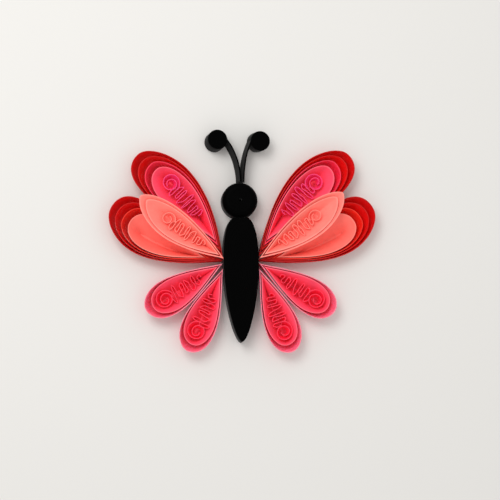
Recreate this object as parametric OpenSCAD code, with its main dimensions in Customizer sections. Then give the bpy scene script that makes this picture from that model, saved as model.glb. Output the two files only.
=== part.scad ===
// A butterfly quilled from paper strips that stand on edge.
// It lies on its back: +X to its right wing, +Y to its head, +Z up, and the origin is
// under the body, level with the wing tips that are pinched against it.

/* [Paper strips] */
// Width of the strips, which is how high the wing loops stand
strip_h = 10; // [8:0.5:12]
// Thickness of the paper
paper_t = 0.4; // [0.3:0.05:0.6]
// Glue line left between neighbouring pieces
seat_gap = 0.15; // [0.05:0.05:0.3]

/* [Body and head] */
// Length of the pressed coil of the body, tail to neck
body_len = 75.6; // [68:0.2:84]
// Half the width of the body
body_half_w = 10.6; // [9:0.1:12]
// Height of the body and head coils
body_h = 12; // [10:0.5:14]
// How far the tail lies behind the wing tips
tail_back = 49.8; // [46:0.2:54]
// Depth of the hollow at the neck that seats the head
neck_hollow = 1; // [0.4:0.1:2]
// Diameter of the rolled head
head_d = 21.6; // [18:0.2:24]
// Rounded rim of the head coil
head_rim_r = 4; // [0.5:0.1:5]
// Width of the hole that the rolling needle leaves
needle_d = 1.6; // [0.8:0.1:2.4]

/* [Antennae] */
// Diameter of the rolled knobs
knob_d = 12; // [10:0.2:14]
// How far the knobs stand in front of the head's centre
knob_reach = 36.4; // [32:0.2:40]
// Distance of the left knob from the body's axis
knob_left_x = 14.4; // [12:0.2:16]
// Distance of the right knob from the body's axis
knob_right_x = 11.4; // [10:0.2:14]
// Lean of the antennae to the right
antenna_lean = 9; // [0:1:14]
// Thickness of the doubled strip of the stalks
stalk_t = 0.9; // [0.6:0.1:1.2]

/* [Forewings] */
// Length of the left forewing from pinched tip to round end
fore_left_len = 80; // [74:0.2:86]
// Length of the right forewing
fore_right_len = 83.4; // [76:0.2:88]
// Half-width on its front flank
fore_front_w = 12.2; // [11:0.1:14]
// Half-width on the midwing's side
fore_back_w = 17.6; // [16:0.1:17.8]
// How far the middle line bows forward
fore_bow = 6; // [5:0.1:7]
// Angle of the left forewing above the X axis
fore_left_deg = 51; // [50.2:0.1:53]
// Angle of the right forewing above the X axis
fore_right_deg = 48.1; // [47.6:0.1:51]
// Distance of its tip ahead of the origin
fore_tip_y = 1.6; // [1:0.1:3]

/* [Midwings] */
// Length of the left midwing from pinched tip to round end
mid_left_len = 74.4; // [70:0.2:79]
// Length of the right midwing
mid_right_len = 77; // [72:0.2:81]
// Half-width on the forewing's side
mid_front_w = 17.6; // [15:0.1:17.8]
// Half-width on its back flank
mid_back_w = 13; // [11:0.1:13.4]
// How far the middle line bows backward
mid_bow = 6.2; // [5:0.1:7]
// Angle of the left midwing above the X axis
mid_left_deg = 25; // [22:0.1:25.2]
// Angle of the right midwing above the X axis
mid_right_deg = 23.5; // [21:0.1:23.7]
// Distance of its tip behind the origin
mid_tip_y = 0.6; // [0:0.1:1]

/* [Centre leaves] */
// Length of the left leaf, which lies on the seam of the forewing and the midwing
leaf_left_len = 62.6; // [56:0.2:68]
// Length of the right leaf
leaf_right_len = 64.8; // [58:0.2:70]
// Half-width on the forewing's side
leaf_front_w = 8; // [6:0.1:9]
// Half-width on the midwing's side
leaf_back_w = 11.8; // [11:0.1:13]
// Angle of the leaf above the X axis
leaf_deg = 37.5; // [35:0.1:40]
// Height of the leaf's narrow strip
leaf_h = 5; // [3:0.5:7]

/* [Hindwings] */
// Length of the upper hindwings
hind_up_len = 54.4; // [50:0.2:58]
// Half the width of the upper hindwings
hind_up_half_w = 11; // [10:0.1:11.4]
// Angle of the left upper hindwing below the X axis
hind_up_left_deg = 31.6; // [30:0.1:32]
// Angle of the right upper hindwing below the X axis
hind_up_right_deg = 33; // [32:0.1:33.5]
// Length of the lower hindwings
hind_low_len = 54.4; // [50:0.2:58]
// Half the width of the lower hindwings
hind_low_half_w = 10.6; // [9.6:0.1:11]
// Angle of the left lower hindwing below the X axis
hind_low_left_deg = 66.6; // [66.4:0.1:69]
// Angle of the right lower hindwing below the X axis
hind_low_right_deg = 69; // [67:0.1:70]
// Distance of the upper hindwing's tip behind the origin
hind_up_tip_y = 2.4; // [2:0.1:3]
// Distance of the lower hindwing's tip behind the origin
hind_low_tip_y = 5.4; // [4.8:0.1:7]

/* [Nested loops] */
// Spacing of the loops at a wing's round end
end_step = 4.6; // [3:0.1:5]
// Spacing of the loops at a wing's flanks
side_step = 1.6; // [1.4:0.1:2]
// Spacing of the loops' pinched tips
tip_step = 3.4; // [3.2:0.1:3.8]
// How far the round end of a loop leans out from foot to edge
end_lean = 4.8; // [0:0.1:6]
// How far the flanks of a loop lean out from foot to edge
side_lean = 2.8; // [0:0.1:3.2]
// Share of its half-width by which a forewing's inmost loop leans out
fore_heart_lean = 0.86; // [0.5:0.01:0.86]
// Share of its half-width by which a midwing's inmost loop leans out
mid_heart_lean = 0.93; // [0.5:0.01:0.93]
// How far the round end of a wing's inmost loop leans out
heart_end_lean = 9; // [0:0.1:12]
// How far the flanks of a centre leaf lean out
leaf_lean = 8; // [4:0.1:8.2]
// How far the outer tip of a centre leaf leans out
leaf_end_lean = 14; // [0:0.5:16]
// Share of its half-width by which a hindwing's inner loop leans out
hind_lean = 0.8; // [0.4:0.01:0.8]
// How far the round end of a hindwing's loops leans out
hind_end_lean = 4.4; // [0:0.1:6]

/* [Curls] */
// Height of the curled filling strips
curl_h = 4; // [2:0.5:4.5]
// How high the wings' curls are wedged between the leaning flanks
curl_lift = 5; // [4.5:0.5:5.5]
// Height of the centre leaves' curled strip
leaf_curl_h = 2.4; // [1.6:0.2:2.6]
// How high the centre leaves' curls are wedged
leaf_curl_lift = 2.2; // [2:0.1:2.4]
// Spacing of a curl's rolled turns
curl_pitch = 1.5; // [1.2:0.1:2]
// Radius of the eye in the middle of a roll
eye_r = 1; // [0.8:0.1:1.4]
// Share of the space inside the loops that the crimps fill
curl_fill = 0.8; // [0.5:0.02:0.82]
// Radius of the forewings' rolls
fore_roll_r = 3.9; // [3:0.1:4]
// Radius of the centre leaves' rolls
leaf_roll_r = 3; // [2:0.1:3.1]
// Radius of the upper hindwings' rolls
hind_up_roll_r = 4.2; // [3.6:0.1:4.3]
// Radius of the lower hindwings' rolls
hind_low_roll_r = 3.9; // [3:0.1:4]

/* [Hidden] */
sides = ["left", "right"];
order = ["outer", "second", "third", "inner"];
wing_loops = 4;
hind_loops = 2;
ring_n = 36;
body_n = 48;
crimp_n = 7;
roll_n = 18;
head_r = head_d / 2;
knob_r = knob_d / 2;
neck_y = body_len - tail_back;
head_y = neck_y + head_r - neck_hollow;
tip_x = body_half_w + seat_gap;
round_end = 0.5;
leaf_point = 0.66;
fore_swell = 1.12;
mid_swell = 1.27;
hind_swell = 1.19;
leaf_swell = 1.05;
tail_swell = 0.62;
neck_swell = 0.33;
pinch_papers = 1.15;
stalk_n = 12;
stalk_bend = 0.6;
// Where a curl starts and where it rolls up, as shares of the loop round it, and its crimps
fore_curl = [0.36, 0.85, 12];
leaf_curl = [0.24, 0.8, 12];
hind_up_curl = [0.27, 0.85, 10];
hind_low_curl = [0.31, 0.85, 10];

fore_tones = ["#a60a10", "#c90f18", "#e01c2e", "#f03c50"];
mid_tones = ["#9e0406", "#c80a08", "#e62014", "#ff6a5e"];
leaf_tones = ["#ff7c6e", "#ff8e7e"];
hind_tones = ["#e84a7c", "#f4365a"];
fore_curl_tone = "#e83070";
leaf_curl_tone = "#f0503c";
hind_curl_tone = "#f02040";
body_tone = "#161412";

function leaf_name(s, k) = str(s, "_centre_leaf_", k == 0 ? "outer" : "inner", "_loop");
function hind_name(s, level, k) = str(s, "_", level, "_hindwing_", k == 0 ? "outer" : "inner", "_loop");

// Half-width of a leaf shape, at most 1, at the share u of its length.
// The power a shapes the start and the power b the end, which is round at 0.5.
function swell(u, a, b) =
    pow(u, a) * pow(1 - u, b) / (pow(a / (a + b), a) * pow(b / (a + b), b));

// Distance from a loop's tip to where its flanks are two papers apart
function pinch(len, w, a, b) =
    len * pow(pinch_papers * paper_t * pow(a / (a + b), a) * pow(b / (a + b), b) / w, 1 / a);

// A shape is [tip, len, front, back, bow, a, b]: where its tip is on its axis, its length,
// its two half-widths, the bow of its wing's middle line and the powers of swell.
// A bow is [rise, length], because the loops of a wing share one middle line.
function wing(len, front, back, rise, a, b) = [0, len, front, back, [rise, len], a, b];
function inset(s, k, end, side, tip) = [
    s[0] + k * tip, s[1] - k * (tip + end), s[2] - k * side, s[3] - k * side, s[4], s[5], s[6]
];
function wide(s) = max(s[2], s[3]);
function leaned(s, end, side) = let (share = 1 - side / wide(s)) [
    s[0], s[1] - end, s[2] * share, s[3] * share, s[4], s[5], s[6]
];
function lining(s) = let (d = pinch(s[1], min(s[2], s[3]), s[5], s[6])) [
    s[0] + d, s[1] - d - paper_t, s[2] - paper_t, s[3] - paper_t, s[4], s[5], s[6]
];
function bow_at(s, u) = let (v = (s[0] + s[1] * u) / s[4][1]) 4 * s[4][0] * v * (1 - v);
function front_at(s, u) = bow_at(s, u) + s[2] * swell(u, s[5], s[6]);
function back_at(s, u) = bow_at(s, u) - s[3] * swell(u, s[5], s[6]);
function middle_at(s, u) = (front_at(s, u) + back_at(s, u)) / 2;

// The closed outline of a shape at the height z, with its points spread evenly round the end
function ring(s, z) = [
    for (i = [0 : ring_n - 1])
        let (t = 180 * i / ring_n, u = 1 - pow(abs(cos(t)), 1 / s[6]))
        [s[0] + s[1] * u, t < 90 ? front_at(s, u) : back_at(s, u), z]
];

// A paper loop: the strip's four corners are carried round the outline of a shape,
// whose foot is smaller than its edge because the strip leans out
module paper_loop(edge, foot, h) {
    corners = [ring(foot, 0), ring(edge, h), ring(lining(edge), h), ring(lining(foot), 0)];
    polyhedron(
        points = [for (c = corners) each c],
        faces = [
            for (c = [0 : 3], i = [0 : ring_n - 1])
                let (a = c * ring_n, b = (c + 1) % 4 * ring_n, j = (i + 1) % ring_n)
                each [[a + i, a + j, b + j], [a + i, b + j, b + i]]
        ]
    );
}

// Outline of a strip of the thickness t along a path
function along(path, i) = let (
    d = path[min(i + 1, len(path) - 1)] - path[max(i - 1, 0)]
) [-d.y, d.x] / norm(d);
function ribbon(path, t) = concat(
    [for (i = [0 : len(path) - 1]) path[i] + along(path, i) * t / 2],
    [for (i = [len(path) - 1 : -1 : 0]) path[i] - along(path, i) * t / 2]
);

// A strip crimped from side to side from x0 to x1, which ends in a roll of the radius r.
// The crimps bulge at their crests, so that each is a round bend of the paper.
function crimps(s, x0, x1, waves) = [
    for (i = [0 : waves * crimp_n])
        let (
            p = 180 * i / crimp_n,
            x = x0 + (x1 - x0) * i / (waves * crimp_n),
            u = (x - s[0]) / s[1],
            amp = curl_fill * (front_at(s, u) - back_at(s, u)) / 2 - paper_t - seat_gap,
            bulge = (x1 - x0) / waves / (2 * PI)
        )
        [x - bulge * sin(2 * p), middle_at(s, u) + amp * sin(p)]
];
function roll(c, r) = [
    for (i = [1 : roll_n * floor(4 * (r - eye_r) / curl_pitch) / 4])
        let (q = 180 - 360 * i / roll_n, rr = r - curl_pitch * i / roll_n)
        c + rr * [cos(q), sin(q)]
];
module curl(s, plan, r, h) {
    x = s[0] + s[1] * plan[1];
    c = [x, middle_at(s, plan[1])];
    path = concat(crimps(s, s[0] + s[1] * plan[0], x - r, plan[2]), roll(c, r));
    linear_extrude(h) polygon(ribbon(path, paper_t));
}

// Places a wing piece, drawn with its tip at the origin and its axis along X, on its side
module on_side(side, deg, y) {
    if (side == "left")
        mirror([1, 0, 0]) translate([tip_x, y, 0]) rotate(deg) children();
    else
        translate([tip_x, y, 0]) rotate(deg) children();
}

function of_side(side, left, right) = side == "left" ? left : right;
function fore_shape(side) = let (len = of_side(side, fore_left_len, fore_right_len))
    wing(len, fore_front_w, fore_back_w, fore_bow, fore_swell, round_end);
function mid_shape(side) = let (len = of_side(side, mid_left_len, mid_right_len))
    wing(len, mid_front_w, mid_back_w, -mid_bow, mid_swell, round_end);
function leaf_shape(side) = let (len = of_side(side, leaf_left_len, leaf_right_len))
    wing(len, leaf_front_w, leaf_back_w, 0, leaf_swell, leaf_point);
hind_up_shape = wing(hind_up_len, hind_up_half_w, hind_up_half_w, 0, hind_swell, round_end);
hind_low_shape = wing(hind_low_len, hind_low_half_w, hind_low_half_w, 0, hind_swell, round_end);

function nested(s, k) = inset(s, k, end_step, side_step, tip_step);
// The outline of a wing's, a hindwing's or a leaf's loop at the share q of its height
function wing_at(s, k, heart, q) = k == wing_loops - 1
    ? leaned(s, (1 - q) * heart_end_lean, (1 - q) * heart * wide(s))
    : leaned(s, (1 - q) * end_lean, (1 - q) * side_lean);
function hind_at(s, k, q) = let (side = k == 0 ? side_lean : hind_lean * wide(s))
    leaned(s, (1 - q) * hind_end_lean, (1 - q) * side);
function leaf_at(s, q) = leaned(s, (1 - q) * leaf_end_lean, (1 - q) * leaf_lean);
function fore_deg(side) = of_side(side, fore_left_deg, fore_right_deg);
function mid_deg(side) = of_side(side, mid_left_deg, mid_right_deg);
function hind_up_deg(side) = of_side(side, hind_up_left_deg, hind_up_right_deg);
function hind_low_deg(side) = of_side(side, hind_low_left_deg, hind_low_right_deg);

module forewing_loop(side, k) {
    edge = nested(fore_shape(side), k);
    color(fore_tones[k]) on_side(side, fore_deg(side), fore_tip_y)
        paper_loop(edge, wing_at(edge, k, fore_heart_lean, 0), strip_h);
}

module midwing_loop(side, k) {
    edge = nested(mid_shape(side), k);
    color(mid_tones[k]) on_side(side, mid_deg(side), -mid_tip_y)
        paper_loop(edge, wing_at(edge, k, mid_heart_lean, 0), strip_h);
}

module centre_leaf_loop(side, k) {
    edge = nested(leaf_shape(side), k);
    color(leaf_tones[k]) on_side(side, leaf_deg, 0) translate([0, 0, strip_h])
        paper_loop(edge, leaf_at(edge, 0), leaf_h);
}

module upper_hindwing_loop(side, k) {
    edge = nested(hind_up_shape, k);
    color(hind_tones[k]) on_side(side, -hind_up_deg(side), -hind_up_tip_y)
        paper_loop(edge, hind_at(edge, k, 0), strip_h);
}

module lower_hindwing_loop(side, k) {
    edge = nested(hind_low_shape, k);
    color(hind_tones[k]) on_side(side, -hind_low_deg(side), -hind_low_tip_y)
        paper_loop(edge, hind_at(edge, k, 0), strip_h);
}

module forewing_curl(side) {
    k = wing_loops - 1;
    seat = wing_at(nested(fore_shape(side), k), k, fore_heart_lean, curl_lift / strip_h);
    color(fore_curl_tone) on_side(side, fore_deg(side), fore_tip_y) translate([0, 0, curl_lift])
        curl(seat, fore_curl, fore_roll_r, curl_h);
}

module centre_leaf_curl(side) {
    seat = leaf_at(nested(leaf_shape(side), hind_loops - 1), leaf_curl_lift / leaf_h);
    color(leaf_curl_tone) on_side(side, leaf_deg, 0) translate([0, 0, strip_h + leaf_curl_lift])
        curl(seat, leaf_curl, leaf_roll_r, leaf_curl_h);
}

module upper_hindwing_curl(side) {
    k = hind_loops - 1;
    seat = hind_at(nested(hind_up_shape, k), k, curl_lift / strip_h);
    color(hind_curl_tone) on_side(side, -hind_up_deg(side), -hind_up_tip_y) translate([0, 0, curl_lift])
        curl(seat, hind_up_curl, hind_up_roll_r, curl_h);
}

module lower_hindwing_curl(side) {
    k = hind_loops - 1;
    seat = hind_at(nested(hind_low_shape, k), k, curl_lift / strip_h);
    color(hind_curl_tone) on_side(side, -hind_low_deg(side), -hind_low_tip_y) translate([0, 0, curl_lift])
        curl(seat, hind_low_curl, hind_low_roll_r, curl_h);
}

// The body: a tight coil pressed to a point at the tail and hollowed for the head
function body_side(i) = let (u = pow(sin(90 * i / body_n), 2)) [
    body_half_w * swell(u, tail_swell, neck_swell), body_len * u - tail_back
];
module body() {
    half = [for (i = [0 : body_n]) body_side(i)];
    left = [for (i = [body_n - 1 : -1 : 1]) [-half[i].x, half[i].y]];
    color(body_tone) difference() {
        linear_extrude(body_h) polygon(concat(half, left));
        translate([0, head_y, -1]) cylinder(h = body_h + 2, r = head_r + seat_gap, $fn = 96);
    }
}

// The head: a strip rolled tight round a needle
module head() {
    wall = head_r - needle_d / 2;
    color(body_tone) translate([0, head_y, 0]) rotate_extrude($fn = 96)
        translate([needle_d / 2, 0]) {
            square([wall, body_h - head_rim_r]);
            square([wall - head_rim_r, body_h]);
            translate([wall - head_rim_r, body_h - head_rim_r]) circle(head_rim_r, $fn = 32);
        }
}

// An antenna: a doubled strip that curves out from the head and ends in a rolled knob
function stalk(x) = let (
    root = [sign(x) * stalk_t, head_r + 2 * seat_gap],
    end = [x - sign(x) * (knob_r - stalk_t / 2), knob_reach],
    bend = [root.x, root.y + stalk_bend * (end.y - root.y)]
) [
    for (i = [0 : stalk_n])
        let (s = i / stalk_n)
        pow(1 - s, 2) * root + 2 * s * (1 - s) * bend + s * s * end
];
module antenna(side) {
    x = side == "left" ? -knob_left_x : knob_right_x;
    color(body_tone) translate([0, head_y, (knob_r + stalk_t) * sin(antenna_lean)])
        rotate(a = antenna_lean, v = [x, knob_reach, 0]) {
            linear_extrude(strip_h) polygon(ribbon(stalk(x), stalk_t));
            translate([x, knob_reach, 0]) cylinder(h = strip_h, r = knob_r, $fn = 64);
        }
}

body();
head();
for (s = sides) {
    antenna(s);
    for (k = [0 : wing_loops - 1]) {
        forewing_loop(s, k);
        midwing_loop(s, k);
    }
    for (k = [0 : hind_loops - 1]) {
        centre_leaf_loop(s, k);
        upper_hindwing_loop(s, k);
        lower_hindwing_loop(s, k);
    }
    forewing_curl(s);
    centre_leaf_curl(s);
    upper_hindwing_curl(s);
    lower_hindwing_curl(s);
}
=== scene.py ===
import math

import bmesh
import bpy
import numpy as np
from mathutils import Matrix, Vector


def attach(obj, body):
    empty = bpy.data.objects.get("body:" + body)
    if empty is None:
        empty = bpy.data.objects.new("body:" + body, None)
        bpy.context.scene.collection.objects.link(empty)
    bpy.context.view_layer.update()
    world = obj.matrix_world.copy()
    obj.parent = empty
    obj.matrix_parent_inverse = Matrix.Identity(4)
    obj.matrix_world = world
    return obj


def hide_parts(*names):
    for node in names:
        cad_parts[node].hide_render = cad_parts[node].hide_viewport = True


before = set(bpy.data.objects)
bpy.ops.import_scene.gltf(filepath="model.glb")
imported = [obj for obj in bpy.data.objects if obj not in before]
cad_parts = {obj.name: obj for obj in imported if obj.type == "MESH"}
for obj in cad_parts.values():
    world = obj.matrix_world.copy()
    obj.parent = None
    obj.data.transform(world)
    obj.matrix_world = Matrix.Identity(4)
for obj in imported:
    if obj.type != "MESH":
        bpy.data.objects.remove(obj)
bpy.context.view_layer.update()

mm = 0.001  # sizes below are millimetres, meshes are metres
sides = dict(left=-1, right=1)
print("frame loaded:", len(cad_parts), "nodes")


# Colours and materials

def hexLinear(code):
    srgb = np.array([int(code[i:i + 2], 16) for i in (1, 3, 5)]) / 255
    linear = np.where(srgb <= 0.04045, srgb / 12.92, ((srgb + 0.055) / 1.055) ** 2.4)
    return (*linear, 1.0)


def addNode(tree, kind, settings, links):
    node = tree.nodes.new(kind)
    for key, value in settings.items():
        if key in node.inputs:
            node.inputs[key].default_value = value
        else:
            setattr(node, key, value)
    for socket, source in links.items():
        tree.links.new(source, node.inputs[socket])
    return node


def newMaterial(name):
    material = bpy.data.materials.new(name)
    material.use_nodes = True
    material.node_tree.nodes.clear()
    return material, material.node_tree


# Quilling paper, dyed through and guillotined into strips. To the eye it is matt and faintly fibrous, its
# top edges are painted a shade off its faces (a painted highlight on most papers, painted shade on the dark
# red and red), and light glows through a single wall, red the furthest.
# Real fibres are finer: they are drawn as coarse as the render needs to show them.
fibre = dict(patchMm=5, strandMm=1.4, bumpMm=0.05, glowMm=(2.5, 0.35, 0.3), paintedEdgeFrom=0.93)


def quillingPaper(name, tone, paintedEdgeTone, glow, rough=0.62, shine=0.3, fuzz=0.0):
    material, tree = newMaterial(name)
    place = addNode(tree, "ShaderNodeTexCoord", {}, {})
    rise = addNode(tree, "ShaderNodeAttribute", {"attribute_name": "rise"}, {})
    patch = addNode(tree, "ShaderNodeTexNoise", {"Scale": 1 / (fibre["patchMm"] * mm), "Detail": 3.0},
                    {"Vector": place.outputs["Object"]})
    strands = addNode(tree, "ShaderNodeTexNoise", {"Scale": 1 / (fibre["strandMm"] * mm), "Detail": 4.0},
                      {"Vector": place.outputs["Object"]})
    # The top band of the strip is painted in the edge tone: a painted highlight on most papers, painted
    # shade on the dark red and red papers.
    cut = addNode(tree, "ShaderNodeMapRange", {"From Min": fibre["paintedEdgeFrom"], "From Max": 1.0},
                  {"Value": rise.outputs["Fac"]})
    shade = addNode(tree, "ShaderNodeMapRange",
                    {"From Min": 0.3, "From Max": 0.7, "To Min": 0.93, "To Max": 1.05},
                    {"Value": patch.outputs["Fac"]})
    toneAndPaintedEdge = addNode(tree, "ShaderNodeMix",
                   {"data_type": "RGBA", "A": hexLinear(tone), "B": hexLinear(paintedEdgeTone)},
                   {"Factor": cut.outputs["Result"]})
    mottled = addNode(tree, "ShaderNodeHueSaturation", {},
                      {"Color": toneAndPaintedEdge.outputs["Result"], "Value": shade.outputs["Result"]})
    bump = addNode(tree, "ShaderNodeBump", {"Strength": 0.5, "Distance": fibre["bumpMm"] * mm},
                   {"Height": strands.outputs["Fac"]})
    skin = addNode(tree, "ShaderNodeBsdfPrincipled",
                   {"Roughness": rough, "IOR": 1.45, "Specular IOR Level": shine,
                    "Sheen Weight": fuzz, "Sheen Roughness": 0.3, "Subsurface Weight": glow,
                    "Subsurface Radius": fibre["glowMm"], "Subsurface Scale": mm},
                   {"Base Color": mottled.outputs["Color"], "Normal": bump.outputs["Normal"]})
    addNode(tree, "ShaderNodeOutputMaterial", {}, {"Surface": skin.outputs["BSDF"]})
    return material


# The second tone is painted on the strip's top edge: paler on most papers, a painted highlight where light
# catches the edge, and darker on the dark red and red papers, painted shade.
paperTones = {  # dyed tone, painted tone of the top edge, and how much light goes through a wall
    "dark_red_paper": ("#d20406", "#b00404", 0.5),
    "red_paper": ("#ee0808", "#cc0c0a", 0.4),
    "scarlet_paper": ("#ff2214", "#f03020", 0.3),
    "crimson_paper": ("#ff2444", "#ff3854", 0.2),
    "pink_red_paper": ("#fe4864", "#ff6074", 0.0),
    "coral_paper": ("#ff7a6e", "#ff8276", 0.0),
    "salmon_paper": ("#ff7c70", "#ff8c80", 0.0),
    "magenta_paper": ("#f6326c", "#f6447a", 0.2),
    "rose_paper": ("#ff6482", "#ff8496", 0.4),
}
papers = {slot: quillingPaper(slot.replace("_", " "), *tones) for slot, tones in paperTones.items()}
# Black paper takes in nearly all light: its faces are flat black, and fuzz greys a wall seen at a graze.
papers["black_paper"] = quillingPaper("black paper", "#010101", "#010101", 0.0,
                                      rough=0.55, shine=0.02, fuzz=0.12)
print("papers mixed:", len(papers))


# Meshes

sharpAngle = math.radians(38)  # cut edges and pinched tips stay crisp


# Rows of points joined into a closed skin: each row is a closed outline, and the rows either come round
# to the first one again or are closed by a cap at both ends. The rise, a share of the strip's height,
# tells the paper where its cut edge is, the band that holds its painted edge highlight and shade.
def skinMesh(name, rows, rise, wrapped):
    m, n = rows.shape[:2]
    steps = m if wrapped else m - 1
    i, j = np.meshgrid(np.arange(steps), np.arange(n), indexing="ij")
    a, b = i * n + j, i * n + (j + 1) % n
    c, d = (i + 1) % m * n + (j + 1) % n, (i + 1) % m * n + j
    faces = np.stack([a, b, c, d], axis=-1).reshape(-1, 4).tolist()
    if not wrapped:
        faces += [list(range(n))[::-1], list(range((m - 1) * n, m * n))]
    mesh = bpy.data.meshes.new(name)
    mesh.from_pydata(rows.reshape(-1, 3) * mm, [], faces)
    attribute = mesh.attributes.new("rise", "FLOAT", "POINT")
    attribute.data.foreach_set("value", np.broadcast_to(rise, (m, n)).astype(np.float32).ravel())
    work = bmesh.new()
    work.from_mesh(mesh)
    bmesh.ops.recalc_face_normals(work, faces=work.faces)
    work.to_mesh(mesh)
    work.free()
    mesh.shade_smooth()
    mesh.set_sharp_from_angle(angle=sharpAngle)
    return mesh


def addPiece(node, mesh, slot):
    piece = bpy.data.objects.new(mesh.name, mesh)
    bpy.context.scene.collection.objects.link(piece)
    mesh.materials.append(papers[slot])
    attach(piece, "root")
    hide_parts(node)


# Petal shapes, as the part has them

paper = dict(stripHeight=10, thick=0.4, glueLine=0.15, pinchPapers=1.15, shutHalf=0.65)
nest = dict(tipX=10.75, tipStep=3.4, endStep=4.6, sideStep=1.6, around=180)


def peakOf(a, b):
    return (a / (a + b)) ** a * (b / (a + b)) ** b


# Half-width, at most 1, at the share u of the length: u to the power a times 1-u to the power b,
# over the peak of that product.
def swell(u, a, b):
    return u ** a * (1 - u) ** b / peakOf(a, b)


def petal(plan, side):
    length = plan["length"][side]
    return dict(tip=0, length=length, front=plan["front"], back=plan["back"], bow=plan["bow"],
                bowLength=length, a=plan["swell"], b=plan["end"])


# The petal that lies k steps inside another.
def nested(shape, k):
    side = k * nest["sideStep"]
    return dict(shape, tip=shape["tip"] + k * nest["tipStep"],
                length=shape["length"] - k * (nest["tipStep"] + nest["endStep"]),
                front=shape["front"] - side, back=shape["back"] - side)


# The same petal lower down a leaning loop: shorter at its end, and both half-widths less by one share.
def leaned(shape, end, side):
    share = 1 - side / max(shape["front"], shape["back"])
    return dict(shape, length=shape["length"] - end,
                front=shape["front"] * share, back=shape["back"] * share)


# The foot of an inmost loop, pressed shut so that no floor shows between its flanks.
def shutFoot(shape, end):
    half = paper["shutHalf"]
    return dict(shape, length=shape["length"] - end, front=half, back=half, shut=True)


# The inner face of the strip: it starts where the two flanks are a little over two papers apart.
def lining(shape):
    thick, a, b = paper["thick"], shape["a"], shape["b"]
    narrow = min(shape["front"], shape["back"])
    start = shape["length"] * (paper["pinchPapers"] * thick * peakOf(a, b) / narrow) ** (1 / a)
    return dict(shape, tip=shape["tip"] + start, length=shape["length"] - start - thick,
                front=shape["front"] - thick, back=shape["back"] - thick)


# The middle line is a parabola over the whole length of the outermost petal.
def bowAt(shape, u):
    v = (shape["tip"] + shape["length"] * u) / shape["bowLength"]
    return 4 * shape["bow"] * v * (1 - v)


# Outline of a petal: u is 1 less the power 1/b of the cosine of an angle t that goes half round,
# which spreads the points evenly round the end, and the second half is the back flank.
def petalOutline(shape, count):
    t = np.pi * np.arange(count) / count
    u = 1 - np.abs(np.cos(t)) ** (1 / shape["b"])
    half = swell(u, shape["a"], shape["b"])
    y = bowAt(shape, u) + np.where(t < np.pi / 2, shape["front"] * half, -shape["back"] * half)
    return np.stack([shape["tip"] + shape["length"] * u, y], axis=-1)


# Turns a mesh about its tip, moves the tip to the body's flank and lifts it; the left one is mirrored.
def placeMesh(mesh, side, plan, base):
    points = np.empty(len(mesh.vertices) * 3)
    mesh.vertices.foreach_get("co", points)
    x, y, z = points.reshape(-1, 3).T / mm
    angle = math.radians(plan["deg"][side])
    placedX = sides[side] * (nest["tipX"] + x * math.cos(angle) - y * math.sin(angle))
    placedY = plan["tipY"] + x * math.sin(angle) + y * math.cos(angle)
    placed = np.stack([placedX, placedY, z + base], axis=-1)
    mesh.vertices.foreach_set("co", (placed * mm).ravel())
    if sides[side] < 0:
        mesh.flip_normals()
    mesh.update()


# Loops

stripRows = np.array([0, 0.3, 0.6, 0.85, 0.95, 1.0])  # shares of a strip's height, closer at its cut edge
handmade = dict(edgeMm=0.16, edgeInset=1.4, heightMm=0.25, lobes=(3, 7), seedTurn=2.4, heightLag=5)


# A paper loop: the section of the strip, foot to edge outside and edge to foot inside, is carried round
# the petal. Between foot and edge the outline is their weighted mean, and the edge is uneven by two sine
# waves. A shut foot is closed by one paper's thickness at its bottom.
def loopMesh(name, edge, foot, height, seed):
    count = nest["around"]
    t = 2 * np.pi * np.arange(count) / count
    fade = np.sin(t / 2) ** 2  # the pinched tip stays sharp
    waves = [np.sin(k * t + seed * (handmade["seedTurn"] + k)) for k in handmade["lobes"]]
    uneven = fade * sum(waves) / 2
    inset = handmade["edgeMm"] * (handmade["edgeInset"] + uneven)
    dip = handmade["heightMm"] * (1 + np.roll(uneven, count // handmade["heightLag"]) * fade) / 2
    middle = np.mean(petalOutline(edge, count), axis=0)

    def wall(edgeShape, footShape, shares):
        top, low = petalOutline(edgeShape, count), petalOutline(footShape, count)
        flat = low + shares[:, None, None] * (top - low)
        away = flat - middle
        away /= np.linalg.norm(away, axis=-1, keepdims=True)
        flat -= away * (shares[:, None] * inset)[..., None]
        z = shares[:, None] * (height - dip)
        return np.concatenate([flat, z[..., None]], axis=-1)

    shut = "shut" in foot
    inside = np.maximum(stripRows[::-1], paper["thick"] / height if shut else 0)
    rows = np.concatenate([wall(edge, foot, stripRows), wall(lining(edge), lining(foot), inside)])
    rise = np.concatenate([stripRows, inside])[:, None]
    return skinMesh(name, rows, rise, not shut)


# Nests a plan's loops inside each other, presses the inmost one shut at its foot and returns its edge.
def addLoops(label, side, plan):
    shape = petal(plan, side)
    for k, (name, slot) in enumerate(plan["loops"].items()):
        edge = nested(shape, k)
        foot = leaned(edge, plan["endLean"], plan["sideLean"])
        if name == "inner":
            foot = shutFoot(edge, plan["shutEndLean"])
        node = f"{side}_{label}_{name}_loop"
        mesh = loopMesh("paper_" + node, edge, foot, plan["height"], plan["seed"] + k + sides[side])
        placeMesh(mesh, side, plan, plan["base"])
        addPiece(node, mesh, slot)
    return edge


# Curls

crimp = dict(fill=0.8, perCrimp=16, perTurn=40, pitch=1.5, eye=1.0, uneven=0.2, unevenRate=1.7,
             drift=0.7, driftRate=0.6, bulge=0.5, bulgeRate=0.9, tilts=9, heightRate=13)


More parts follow.
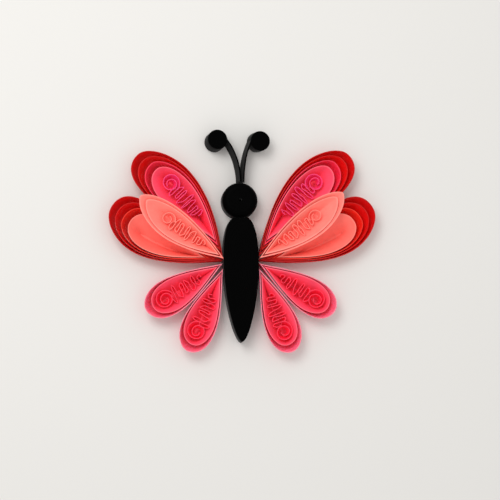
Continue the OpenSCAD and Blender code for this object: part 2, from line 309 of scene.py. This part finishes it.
# A strip's section carried along a path: the path is shifted by half a paper along its own normal on
# either side. Towards its edge the strip tilts to and fro by a sine, and fans out from the spine by the
# flare.
def ribbonMesh(name, path, spine, height, thick, tilt=0, flare=0, seed=0):
    along = np.gradient(path, axis=0)
    along /= np.linalg.norm(along, axis=-1, keepdims=True)
    normal = np.stack([-along[:, 1], along[:, 0]], axis=-1)
    s = np.linspace(0, 1, len(path))
    sway = tilt * np.sin(2 * np.pi * crimp["tilts"] * s + seed)
    dip = handmade["heightMm"] * (1 + np.sin(crimp["heightRate"] * s + seed)) / 2
    up = np.concatenate([stripRows, stripRows[::-1]])
    hand = np.repeat([0.5, -0.5], len(stripRows)) * thick
    flat = spine[:, None] + (path - spine)[:, None] * (1 + flare * up[:, None])
    flat = flat + normal[:, None] * (hand + up * sway[:, None])[..., None]
    z = up * (height - dip)[:, None]
    rows = np.concatenate([flat, z[..., None]], axis=-1)
    return skinMesh(name, rows, up[None, :], False)


# A crimped and rolled curl, as its path and the spine it winds about. The crimps are a sine wave that
# fills the petal from side to side. Slower sines drift its phase and change its height, so that no two
# crimps are alike, and a sine at twice its rate bulges the crests. A spiral follows, whose radius falls
# by one pitch a turn.
def curlPath(shape, curl, seed):
    def halfAt(u):
        return (shape["front"] + shape["back"]) / 2 * swell(u, shape["a"], shape["b"])

    def middleAt(u):
        return bowAt(shape, u) + (shape["front"] - shape["back"]) / 2 * swell(u, shape["a"], shape["b"])

    radius, waves = curl["radius"], curl["waves"]
    x0 = shape["tip"] + shape["length"] * curl["start"]
    x1 = shape["tip"] + shape["length"] * curl["rolled"] - radius
    i = np.arange(waves * crimp["perCrimp"] + 1)
    p = np.pi * i / crimp["perCrimp"]
    p = p + crimp["drift"] * np.sin(p / waves) * np.sin(crimp["driftRate"] * p + 2 * seed)
    x = x0 + (x1 - x0) * i / i[-1]
    u = (x - shape["tip"]) / shape["length"]
    reach = crimp["fill"] * halfAt(u) - paper["thick"] - paper["glueLine"]
    reach = reach * (1 - crimp["uneven"] * (1 + np.sin(crimp["unevenRate"] * p + seed)))
    bulge = (x1 - x0) / waves / (2 * np.pi) * (1 + crimp["bulge"] * np.sin(crimp["bulgeRate"] * p + seed))
    crimps = np.stack([x - bulge * np.sin(2 * p), middleAt(u) + reach * np.sin(p)], axis=-1)

    turns = np.floor(4 * (radius - crimp["eye"]) / crimp["pitch"]) / 4  # whole quarter turns
    q = np.arange(1, int(turns * crimp["perTurn"]) + 1) / crimp["perTurn"]
    r = radius - crimp["pitch"] * q
    angle = np.pi - 2 * np.pi * q
    centre = np.array([x1 + radius, middleAt(curl["rolled"])])
    spiral = centre + np.stack([r * np.cos(angle), r * np.sin(angle)], axis=-1)
    spine = np.concatenate([np.stack([x, middleAt(u)], axis=-1), np.broadcast_to(centre, spiral.shape)])
    return np.concatenate([crimps, spiral]), spine


# Wedges a plan's curl between the flanks of its inmost loop. seatLean is how far those flanks lean in over
# their whole height in the part, so the seat is as wide as they are where the curl is held.
def addCurl(label, side, plan, edge):
    curl = plan["curl"]
    seed = curl["seed"] + sides[side]
    drop = 1 - curl["lift"] / plan["height"]
    seat = leaned(edge, drop * plan["shutEndLean"], drop * curl["seatLean"])
    path, spine = curlPath(seat, curl, seed)
    node = f"{side}_{label}_curl"
    mesh = ribbonMesh("paper_" + node, path, spine, curl["height"], paper["thick"],
                      curl["tilt"], curl["flare"], seed)
    placeMesh(mesh, side, plan, plan["base"] + curl["lift"])
    addPiece(node, mesh, curl["slot"])


# Forewings, whose loops lean in a little more than in the part, so that no floor shows between them

forewing = dict(
    length=dict(left=80, right=83.4), front=12.2, back=17.6, bow=6, swell=1.12, end=0.5,
    tipY=1.6, deg=dict(left=51, right=48.1), base=0, height=paper["stripHeight"],
    endLean=4.8, sideLean=3.4, shutEndLean=9, seed=0,
    loops=dict(outer="dark_red_paper", second="red_paper", third="crimson_paper", inner="pink_red_paper"),
    curl=dict(slot="magenta_paper", start=0.36, rolled=0.85, waves=12, radius=3.9, seatLean=11.008,
              lift=5, height=4, tilt=0.3, flare=0.55, seed=2),
)
for side in sides:
    heart = addLoops("forewing", side, forewing)
    addCurl("forewing", side, forewing, heart)
print("forewings rolled")

# Midwings, which lean as the forewings do

midwing = dict(
    length=dict(left=74.4, right=77), front=17.6, back=13, bow=-6.2, swell=1.27, end=0.5,
    tipY=-0.6, deg=dict(left=25, right=23.5), base=0, height=paper["stripHeight"],
    endLean=4.8, sideLean=3.4, shutEndLean=9, seed=5,
    loops=dict(outer="dark_red_paper", second="red_paper", third="scarlet_paper", inner="coral_paper"),
)
for side in sides:
    addLoops("midwing", side, midwing)
print("midwings rolled")

# Centre leaves, of a narrower strip, lying on the seam of the two wings

leaf = dict(
    length=dict(left=62.6, right=64.8), front=8, back=11.8, bow=0, swell=1.05, end=0.66,
    tipY=0, deg=dict(left=37.5, right=37.5), base=paper["stripHeight"], height=5,
    endLean=14, sideLean=8, shutEndLean=14, seed=11,
    loops=dict(outer="salmon_paper", inner="salmon_paper"),
    curl=dict(slot="coral_paper", start=0.24, rolled=0.8, waves=12, radius=3, seatLean=8,
              lift=2.2, height=2.4, tilt=0.2, flare=0.5, seed=14),
)
for side in sides:
    heart = addLoops("centre_leaf", side, leaf)
    addCurl("centre_leaf", side, leaf, heart)
print("centre leaves laid")

# Hindwings, whose outer loops lean in more at their round ends than in the part, to hide the floor there

hindwing = dict(
    length=dict(left=54.4, right=54.4), bow=0, swell=1.19, end=0.5, base=0, height=paper["stripHeight"],
    endLean=6.4, sideLean=3.4, shutEndLean=4.4, seed=20,
    loops=dict(outer="rose_paper", inner="pink_red_paper"),
)
hindCurl = dict(slot="crimson_paper", rolled=0.85, waves=10, lift=5, height=4, tilt=0.3, seed=24)
hindwings = {
    "upper_hindwing": dict(
        hindwing, front=11, back=11, tipY=-2.4, deg=dict(left=-31.6, right=-33),
        curl=dict(hindCurl, start=0.27, radius=4.2, seatLean=7.52, flare=0.45)),
    "lower_hindwing": dict(
        hindwing, front=10.6, back=10.6, tipY=-5.4, deg=dict(left=-66.6, right=-69),
        curl=dict(hindCurl, start=0.31, radius=3.9, seatLean=7.2, flare=0.55)),
}
for label, plan in hindwings.items():
    for side in sides:
        heart = addLoops(label, side, plan)
        addCurl(label, side, plan, heart)
print("hindwings rolled")


# Tight coils of black paper

coil = dict(turnMm=0.9, fewestTurns=3, perTurn=6, grooveMm=0.06, rim=0.5, rimSteps=5, core=0.05)
blackRise = 0.5  # black paper is as black at its cut edge, so one height stands for all


# A tight coil: an outline, drawn in towards its heart, with its wall, a rounded rim and a top that is
# grooved once for each turn by a raised cosine of the distance from the rim. A rolling needle leaves a
# hole at the heart.
def coilMesh(name, outline, heart, span, height, rim, hole=0):
    turns = max(coil["fewestTurns"], int(span / coil["turnMm"]))
    q = np.linspace(0, np.pi / 2, coil["rimSteps"])
    inner = 1 - rim / span
    core = hole / span if hole else coil["core"]
    share = np.linspace(inner, core, turns * coil["perTurn"] + 1)
    groove = coil["grooveMm"] * (1 - np.cos(2 * np.pi * turns * (inner - share) / inner)) / 2
    scale = np.concatenate([[core, 1, 1], inner + (1 - inner) * np.cos(q), share[1:]])
    z = np.concatenate([[0, 0, height / 2], height - rim + rim * np.sin(q), height - groove[1:]])
    flat = heart + scale[:, None, None] * (outline - heart)
    rows = np.concatenate([flat, np.broadcast_to(z[:, None], flat.shape[:2])[..., None]], axis=-1)
    return skinMesh(name, rows, blackRise, hole > 0)


def circle(radius, centre, count):
    t = 2 * np.pi * np.arange(count) / count
    return centre + radius * np.stack([np.cos(t), np.sin(t)], axis=-1)


# Body and head

body = dict(length=75.6, halfWidth=10.6, height=12, tailBack=49.8, tailSwell=0.62, neckSwell=0.33,
            neckHollow=1, heartY=-6, around=192)
head = dict(radius=10.8, height=12, rim=4, needle=1.6, around=128)
headY = body["length"] - body["tailBack"] + head["radius"] - body["neckHollow"]


# The body's half-width swells from tail to neck as a petal's does, and its neck is hollowed for the head.
def bodyOutline():
    t = 2 * np.pi * np.arange(body["around"]) / body["around"]
    u = np.sin(t / 2) ** 2
    x = np.where(t < np.pi, 1, -1) * body["halfWidth"] * swell(u, body["tailSwell"], body["neckSwell"])
    y = body["length"] * u - body["tailBack"]
    seat = head["radius"] + paper["glueLine"]
    return np.stack([x, np.minimum(y, headY - np.sqrt(np.maximum(seat ** 2 - x ** 2, 0)))], axis=-1)


bodyHeart = np.array([0, body["heartY"]])
bodyMesh = coilMesh("paper_body", bodyOutline(), bodyHeart, body["halfWidth"], body["height"], coil["rim"])
addPiece("body", bodyMesh, "black_paper")
headHeart = np.array([0, headY])
headOutline = circle(head["radius"], headHeart, head["around"])
headMesh = coilMesh("paper_head", headOutline, headHeart, head["radius"], head["height"], head["rim"],
                    head["needle"] / 2)
addPiece("head", headMesh, "black_paper")
print("body and head rolled")

# Antennae

antenna = dict(knobRadius=6, reach=36.4, knobX=dict(left=-14.4, right=11.4), leanDeg=9, stalk=0.9,
               bend=0.6, steps=48, around=96)


# A stalk is a quadratic curve from the head to the knob's inner flank.
def stalkPath(knobX):
    sign = np.sign(knobX)
    root = np.array([sign * antenna["stalk"], head["radius"] + 2 * paper["glueLine"]])
    end = np.array([knobX - sign * (antenna["knobRadius"] - antenna["stalk"] / 2), antenna["reach"]])
    bend = np.array([root[0], root[1] + antenna["bend"] * (end[1] - root[1])])
    s = np.linspace(0, 1, antenna["steps"])[:, None]
    return (1 - s) ** 2 * root + 2 * s * (1 - s) * bend + s ** 2 * end


lean = math.radians(antenna["leanDeg"])
footLift = (antenna["knobRadius"] + antenna["stalk"]) * math.sin(lean)  # keeps the lowest edge on the floor
lift = Matrix.Translation((0, headY * mm, footLift * mm))
for side, knobX in antenna["knobX"].items():
    path = stalkPath(knobX)
    stalk = ribbonMesh(f"paper_{side}_antenna", path, path, paper["stripHeight"], antenna["stalk"])
    knobHeart = np.array([knobX, antenna["reach"]])
    knobOutline = circle(antenna["knobRadius"], knobHeart, antenna["around"])
    knob = coilMesh(f"paper_{side}_knob", knobOutline, knobHeart, antenna["knobRadius"],
                    paper["stripHeight"], coil["rim"])
    turn = Matrix.Rotation(lean, 4, Vector((*knobHeart, 0)))  # leans about the line from head to knob
    for mesh in (stalk, knob):
        mesh.transform(lift @ turn)
        addPiece(f"{side}_antenna", mesh, "black_paper")
print("antennae rolled")

# Floor and light

stage = dict(floorTone="#dcdad6", floorMm=4000, skyLevel=0.85, lampWatts=3, lampMm=(-300, 330, 720),
             lampSizeMm=420)
card, tree = newMaterial("pale card")  # a plain matt sheet that takes the soft shadow
sheet = addNode(tree, "ShaderNodeBsdfPrincipled",
                {"Base Color": hexLinear(stage["floorTone"]), "Roughness": 0.9,
                 "Specular IOR Level": 0.1}, {})
addNode(tree, "ShaderNodeOutputMaterial", {}, {"Surface": sheet.outputs["BSDF"]})
half = stage["floorMm"] / 2 * mm
corners = [(-half, -half, 0), (half, -half, 0), (half, half, 0), (-half, half, 0)]
floorMesh = bpy.data.meshes.new("floor")
floorMesh.from_pydata(corners, [], [(0, 1, 2, 3)])
floorMesh.materials.append(card)
floor = bpy.data.objects.new("floor", floorMesh)
bpy.context.scene.collection.objects.link(floor)

world = bpy.data.worlds.new("soft room")
bpy.context.scene.world = world
world.use_nodes = True
world.node_tree.nodes.clear()
sky = addNode(world.node_tree, "ShaderNodeBackground",
              {"Color": (1, 1, 1, 1), "Strength": stage["skyLevel"]}, {})
addNode(world.node_tree, "ShaderNodeOutputWorld", {}, {"Surface": sky.outputs["Background"]})

lampData = bpy.data.lights.new("window light", "AREA")
lampData.energy = stage["lampWatts"]
lampData.size = stage["lampSizeMm"] * mm
lamp = bpy.data.objects.new("window light", lampData)
lamp.location = Vector(stage["lampMm"]) * mm
lamp.rotation_euler = (-lamp.location).to_track_quat("-Z", "Y").to_euler()
bpy.context.scene.collection.objects.link(lamp)

# Camera, looking down on the butterfly with its head at the top of the picture

view = dict(frameMm=300.2, distanceMm=1300, sensorMm=36, tiltXDeg=-6, tiltYDeg=-6, rollDeg=-0.93,
            aimMm=(5.55, 5.45, 10), nearMm=50, farMm=20000)
cameraData = bpy.data.cameras.new("camera")
cameraData.sensor_width = view["sensorMm"]
cameraData.lens = view["sensorMm"] * view["distanceMm"] / view["frameMm"]
cameraData.clip_start = view["nearMm"] * mm
cameraData.clip_end = view["farMm"] * mm
camera = bpy.data.objects.new("camera", cameraData)
slant = [math.tan(math.radians(view[key])) for key in ("tiltXDeg", "tiltYDeg")]
back = Vector((*slant, 1)).normalized()
level = Vector((0, 1, 0)).cross(back).normalized()
roll = math.radians(view["rollDeg"])
right = math.cos(roll) * level + math.sin(roll) * back.cross(level)
camera.location = (Vector(view["aimMm"]) + back * view["distanceMm"]) * mm
camera.rotation_euler = Matrix((right, back.cross(right), back)).transposed().to_euler()
bpy.context.scene.collection.objects.link(camera)
bpy.context.scene.camera = camera
bpy.context.scene.view_settings.view_transform = "Standard"
print("stage set")
